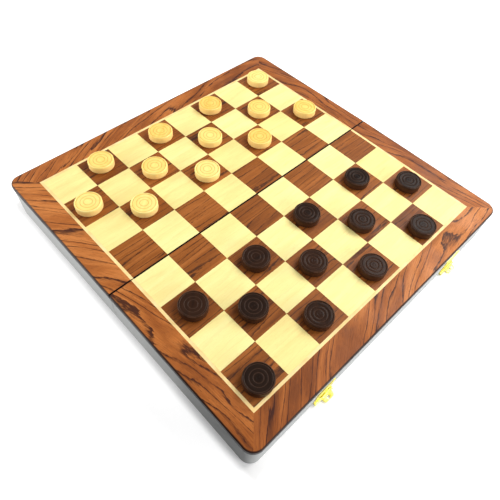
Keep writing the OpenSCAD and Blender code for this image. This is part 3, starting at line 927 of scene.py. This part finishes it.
def felt_sheet(low_u, high_u, half_width, top, thick, step=3.0):
    across = np.linspace(low_u, high_u, max(2, round((high_u - low_u) / step)))
    along = np.linspace(-half_width, half_width, max(2, round(2 * half_width / step)))
    edge = np.minimum.outer(np.minimum(across - low_u, high_u - across),
        half_width - np.abs(along))
    lie = 0.04 * np.sin(across / 17)[:, None] * np.cos(along / 23)[None, :]
    lie = lie + 0.02 * np.sin(across / 5.1)[:, None] * np.sin(along / 6.7)[None, :]
    depth = np.where(edge < 0.1, thick * 0.55, thick - 0.06 + lie)
    rows, columns = len(across), len(along)
    points = [(u, y, top) for u in across for y in along]
    points += [(u, y, top - depth[i, j]) for i, u in enumerate(across)
        for j, y in enumerate(along)]
    faces, shift = [], rows * columns
    for i in range(rows - 1):
        for j in range(columns - 1):
            a = i * columns + j
            b, c, d = a + columns, a + columns + 1, a + 1
            faces += [(a, b, c, d), (a + shift, d + shift, c + shift, b + shift)]
    rim = [i * columns for i in range(rows)]
    rim += [(rows - 1) * columns + j for j in range(1, columns)]
    rim += [i * columns + columns - 1 for i in range(rows - 2, -1, -1)]
    rim += list(range(columns - 2, 0, -1))
    faces += [(a, a + shift, b + shift, b) for a, b in zip(rim, rim[1:] + rim[:1])]
    return closed_mesh("felt", points, faces)


FELT_LOW, FELT_HIGH, FELT_HALF, FELT = 9.45, 142.9, 142.9, 1.2
for half in HALVES:
    mesh = felt_sheet(FELT_LOW, FELT_HIGH, FELT_HALF, core_bottom, FELT)
    shade_by_angle(mesh, 60)
    piece = settle(mesh, half + "_felt_lining", half, half, felt_cloth, [half + "_felt"])
print("felt sheets:", len(mesh.vertices), "points each")

# %% [markdown]
# A draught is a profile turned about its axis. The profile is drawn as a string of points from
# the middle of the top to its foot: a dished face with a faint groove near the middle, two
# deeper ones and one inside the rim, then a rounded shoulder and a straight side. A `ring`
# value marks the grooves, which get painted shade on the light draughts and painted glints on
# the dark ones, and another value marks the sides, which get painted light on the dark ones.
# Every draught is the same profile with its own piece of wood, its own turn and its own tone.

# %% The turned profile
TURNED_R, TURNED_T = 11.4, 6.8
DISH, LIP, SHOULDER, SIDE_MIDDLE, FOOT = 0.3, 10.25, 1.1, 3.4, 0.7
GROOVES, GROOVE_WIDTH = (1.2, 3.6, 6.4, 9.7), 0.9


def groove(middle, width, deep, floor):
    """Points of a rounded groove, cut into a floor of this height, from the inside outwards."""
    turn = np.linspace(0, 2 * math.pi, 9)
    return [(middle + width * (t / (2 * math.pi) - 0.5), floor - deep * (1 - math.cos(t)) / 2)
        for t in turn]


profile = []
for middle, deep in zip(GROOVES, (0.06, 0.22, 0.22, 0.18)):
    profile += groove(middle, GROOVE_WIDTH, deep, TURNED_T - DISH)
profile += [(LIP, TURNED_T - 0.05)]
profile += [(TURNED_R + SHOULDER * (math.sin(t) - 1), TURNED_T + SHOULDER * (math.cos(t) - 1))
    for t in np.linspace(0, math.pi / 2, 7)]
profile += [(TURNED_R, SIDE_MIDDLE)]
profile += [(TURNED_R + FOOT * (math.cos(t) - 1), FOOT * (1 - math.sin(t)))
    for t in np.linspace(0, math.pi / 2, 5)]
profile = np.array(profile)
print("profile of", len(profile), "points")

# %% Turning a draught


def turned(seed, segments=96):
    chance = np.random.default_rng(seed)
    turn = np.arange(segments) * 2 * math.pi / segments
    ring = np.stack([np.cos(turn), np.sin(turn)], 1)
    points = [(0.0, 0.0, profile[0][1])]
    points += [(r * c, r * s, z) for r, z in profile for c, s in ring]
    points.append((0.0, 0.0, profile[-1][1]))
    rows, last = len(profile), len(points) - 1
    faces = [(0, 1 + k, 1 + (k + 1) % segments) for k in range(segments)]
    for row in range(rows - 1):
        a = 1 + row * segments
        b = a + segments
        faces += [(a + k, b + k, b + (k + 1) % segments, a + (k + 1) % segments)
            for k in range(segments)]
    a = 1 + (rows - 1) * segments
    faces += [(last, a + (k + 1) % segments, a + k) for k in range(segments)]
    mesh = bpy.data.meshes.new("draught")
    mesh.from_pydata(points, [], faces)
    heights = np.array([p[2] for p in points])
    radii = np.hypot([p[0] for p in points], [p[1] for p in points])
    out, high = (radii - TURNED_R + 0.4) / 0.45, (heights - TURNED_T + 0.4) / 0.5
    # The sides' value and the grooves' value carry painted light: lit sides and glinting grooves
    # on the dark draughts, and shaded grooves on the light ones.
    flank = np.clip((TURNED_T - 0.7 - heights) / 0.6, 0, 1) * (radii > TURNED_R - 0.8)
    cut = sum(np.exp(-(((radii - middle) / 0.3) ** 2)) for middle in GROOVES[1:])
    for name, values in (("wear", np.exp(-(out**2) - high**2)), ("flank", flank),
            ("ring", cut * (heights > TURNED_T - 0.8)),
            ("tile", np.full(len(points), chance.random()))):
        mark(mesh, name, values)
    angle = chance.random() * math.pi
    put_grain(mesh, (math.cos(angle), math.sin(angle), 0), (-math.sin(angle), math.cos(angle), 0),
        (0, 0, 1), tuple(chance.random(3) * 300))
    shade_by_angle(mesh, 75)
    return mesh


# %% The twenty-four draughts in play
LIGHT_PLACES = ((3, 1, 2.5, 0.5), (3, 3, -0.5, -1), (3, 5, 0.5, -3), (3, 7, 2, 0.5),
    (2, 0, 0, -2), (2, 2, -1.5, -0.5), (2, 4, -3, -2), (2, 6, -2.5, -1.5),
    (1, 1, 1.5, -1), (1, 3, -2.5, -0.5), (1, 5, -2, 0.5), (1, 7, 0, 1.5))
DARK_PLACES = ((1, 0, 0, 1), (1, 2, 0.5, -1), (1, 4, -3, -3), (1, 6, -1.5, -2),
    (2, 1, -2.5, 0), (2, 3, 0.5, -2.5), (2, 5, -0.5, -5), (2, 7, -0.5, -1.5),
    (3, 0, 5.5, -2), (3, 2, 1.5, -1.5), (3, 4, 2, -2.5), (3, 6, 5, -2.5))
STAND = 0.05
for tone, places, half, finish in (("light", LIGHT_PLACES, "keeper_half", light_wood),
        ("dark", DARK_PLACES, "latch_half", dark_wood)):
    for number, (file, rank, off_u, off_y) in enumerate(places, 1):
        mesh = turned(number + (40 if tone == "dark" else 0))
        mesh.transform(Matrix.Translation(((file + 0.5) * SQUARE + off_u,
            (rank + 0.5) * SQUARE - FIELD_HALF + off_y, FACE + STAND)))
        node = f"{tone}_draught_{number:02d}"
        settle(mesh, node + "_turned", half, node, finish, [node])
print("draughts:", len(LIGHT_PLACES) + len(DARK_PLACES), "of", len(mesh.polygons), "faces")

# %% [markdown]
# The stage is a plain white floor. The camera sees it brighter than the lamps alone would make
# it, but less so beside the walls, so that it goes white all round and still keeps a narrow
# shadow where the box stands and beside the latches' flaps. It is open under the board's
# outline but for a strip below the fold, which is painted black as painted shade in the fold's
# gap, and clear from below, so that views from underneath show the trays and the hinges.

# %% The floor


def looked_at(tree):
    """1 for the camera's own view and what it sees in a reflection or through glass, else 0."""
    rays = add(tree, "ShaderNodeLightPath").outputs
    straight = maths(tree, "MAXIMUM", rays["Is Camera Ray"], rays["Is Transmission Ray"])
    return maths(tree, "MAXIMUM", straight, rays["Is Glossy Ray"])


ROOM = 6.0  # in metres, the others in millimetres
UNDER, SHADOW, FLAPS_OUT = 1.0, 7.0, 6.0
near = [p for p in half_outline(UNDER) if p[0] > FOLD_GAP]
board = near + [(-x, y) for x, y in near[::-1]]
count = len(board)
points = [(x * MM, y * MM, 0) for x, y in board]
points += [(ROOM * math.cos(t), ROOM * math.sin(t), 0)
    for t in (math.atan2(y, x) for x, y in board)]
# Under the fold a strip of floor, which the material paints black as painted shade in the gap.
points += [(x * FOLD_GAP * MM, y * WALL_OUT * MM, 0)
    for x, y in ((-2, -1), (2, -1), (2, 1), (-2, 1))]
floor_mesh = bpy.data.meshes.new("floor")
floor_mesh.from_pydata(points, [],
    [(k, count + k, count + (k + 1) % count, (k + 1) % count) for k in range(count)]
    + [tuple(range(2 * count, 2 * count + 4))])
floor_object = bpy.data.objects.new("floor", floor_mesh)
bpy.context.scene.collection.objects.link(floor_object)
paper, tree, shader = material("white_paper", Roughness=0.9, Specular_IOR_Level=0.0,
    Emission_Color=(1, 1, 1, 1))
place = add(tree, "ShaderNodeSeparateXYZ", Vector=object_place(tree)).outputs
from_fold, from_middle = (maths(tree, "ABSOLUTE", place[axis]) for axis in "XY")
away = maths(tree, "MAXIMUM", maths(tree, "SUBTRACT", from_fold, FLAPS_OUT), from_middle)
# Off the strip under the fold. On it the floor is black and has no glow: painted shade for the
# fold's gap.
off_fold = spread(tree, from_fold, 3 * FOLD_GAP, 4 * FOLD_GAP)
past_ends = spread(tree, from_middle, WALL_OUT - 0.6, WALL_OUT - 0.1)
off_painted_fold_shade = maths(tree, "MAXIMUM", off_fold, past_ends)
glow, white = (times(tree, off_painted_fold_shade, spread(tree, away, HALF_LENGTH, HALF_LENGTH + SHADOW,
    beside, beyond)) for beside, beyond in ((0.25, 0.86), (0.8, 0.5)))
grey = add(tree, "ShaderNodeCombineXYZ", X=white, Y=white, Z=white)
tree.links.new(grey.outputs[0], shader.inputs["Base Color"])
tree.links.new(times(tree, looked_at(tree), glow), shader.inputs["Emission Strength"])
clear = add(tree, "ShaderNodeBsdfTransparent")
below = add(tree, "ShaderNodeNewGeometry").outputs["Backfacing"]
either = add(tree, "ShaderNodeMixShader", i0=below, i1=shader.outputs[0], i2=clear.outputs[0])
tree.links.new(either.outputs[0], tree.nodes["Material Output"].inputs["Surface"])
floor_mesh.materials.append(paper)
print("floor normals up:", floor_mesh.polygons[0].normal.z > 0)

# %% [markdown]
# The photograph's light is soft and comes from three sides: most from beyond the far right side,
# some along the floor from the left, and some from the right onto the latches' wall. Toward the
# near corner the walls are darker, the left one most of all. Three broad lamps make the first
# part, and two dark cards that the camera doesn't see make the second: a low one beside the left
# wall, and a tall one across the near corner.

# %% Lamps and surround


def lamp(name, place, aim, width, height, power, tint=(1, 1, 1)):
    data = bpy.data.lights.new(name, "AREA")
    data.shape, data.size, data.size_y = "RECTANGLE", width, height
    data.energy, data.color = power, tint
    made = bpy.data.objects.new(name, data)
    made.location = place
    made.rotation_euler = (Vector(aim) - Vector(place)).to_track_quat("-Z", "Y").to_euler()
    bpy.context.scene.collection.objects.link(made)


lamp("key", (0.2, 0.75, 0.85), (-0.02, 0.0, 0.03), 0.8, 0.6, 13.5, (1.0, 0.985, 0.96))
lamp("left", (-0.62, -0.56, 0.24), (-0.12, -0.12, 0.02), 0.5, 0.3, 5.0, (1.0, 0.99, 0.98))
lamp("right", (0.8, 0.12, 0.24), (0.15, -0.05, 0.02), 0.4, 0.3, 3.6, (0.98, 0.98, 1.0))

card_black, _, _ = material("black_card", Base_Color=(0.01, 0.01, 0.01, 1), Roughness=0.9,
    Specular_IOR_Level=0.0)
for name, middle, wide, high, turn in (("low_card", (0.105, -0.185, 0.028), 0.12, 0.056, 0.0),
        ("tall_card", (0.3, -0.34, 0.21), 0.42, 0.3, 45.0)):
    turn = math.radians(turn)
    across = Vector((math.cos(turn), math.sin(turn), 0)) * wide / 2
    upward = Vector((0, 0, high / 2))
    card_mesh = bpy.data.meshes.new(name)
    card_mesh.from_pydata([Vector(middle) + sx * across + sz * upward
        for sx, sz in ((-1, -1), (1, -1), (1, 1), (-1, 1))], [], [(0, 1, 2, 3)])
    card_mesh.materials.append(card_black)
    card = bpy.data.objects.new(name, card_mesh)
    bpy.context.scene.collection.objects.link(card)
    card.visible_camera = False
world = bpy.data.worlds.new("surround")
bpy.context.scene.world = world
world.use_nodes = True
tree = world.node_tree
surround = tree.nodes["Background"].inputs
surround["Color"].default_value = (1, 1, 1, 1)
tree.links.new(maths(tree, "MULTIPLY_ADD", looked_at(tree), 0.65, 0.35), surround["Strength"])
print("lamps:", len(bpy.data.lights))

# %% [markdown]
# The camera was solved from the corners of the field of squares, which fix its place, its turn
# and its lens. It looks down at 55 degrees from above the near corner.

# %% The camera
EYE = (0.1807, -0.2070, 0.3393)
TURN = (35.1735, -3.4122, 46.1702)
camera_data = bpy.data.cameras.new("camera")
camera_data.sensor_width = 36.0
camera_data.lens = 33.314
camera_data.clip_start, camera_data.clip_end = 0.01, 50.0
camera = bpy.data.objects.new("camera", camera_data)
camera.location = EYE
camera.rotation_euler = [math.radians(a) for a in TURN]
bpy.context.scene.collection.objects.link(camera)
bpy.context.scene.camera = camera
bpy.context.scene.view_settings.view_transform = "Standard"
print("camera lens:", camera_data.lens, "mm")

# %% [markdown]
# Last, the scene is brought up to date. Looks never change the object's size.

# %% Bringing the scene up to date
bpy.context.view_layer.update()
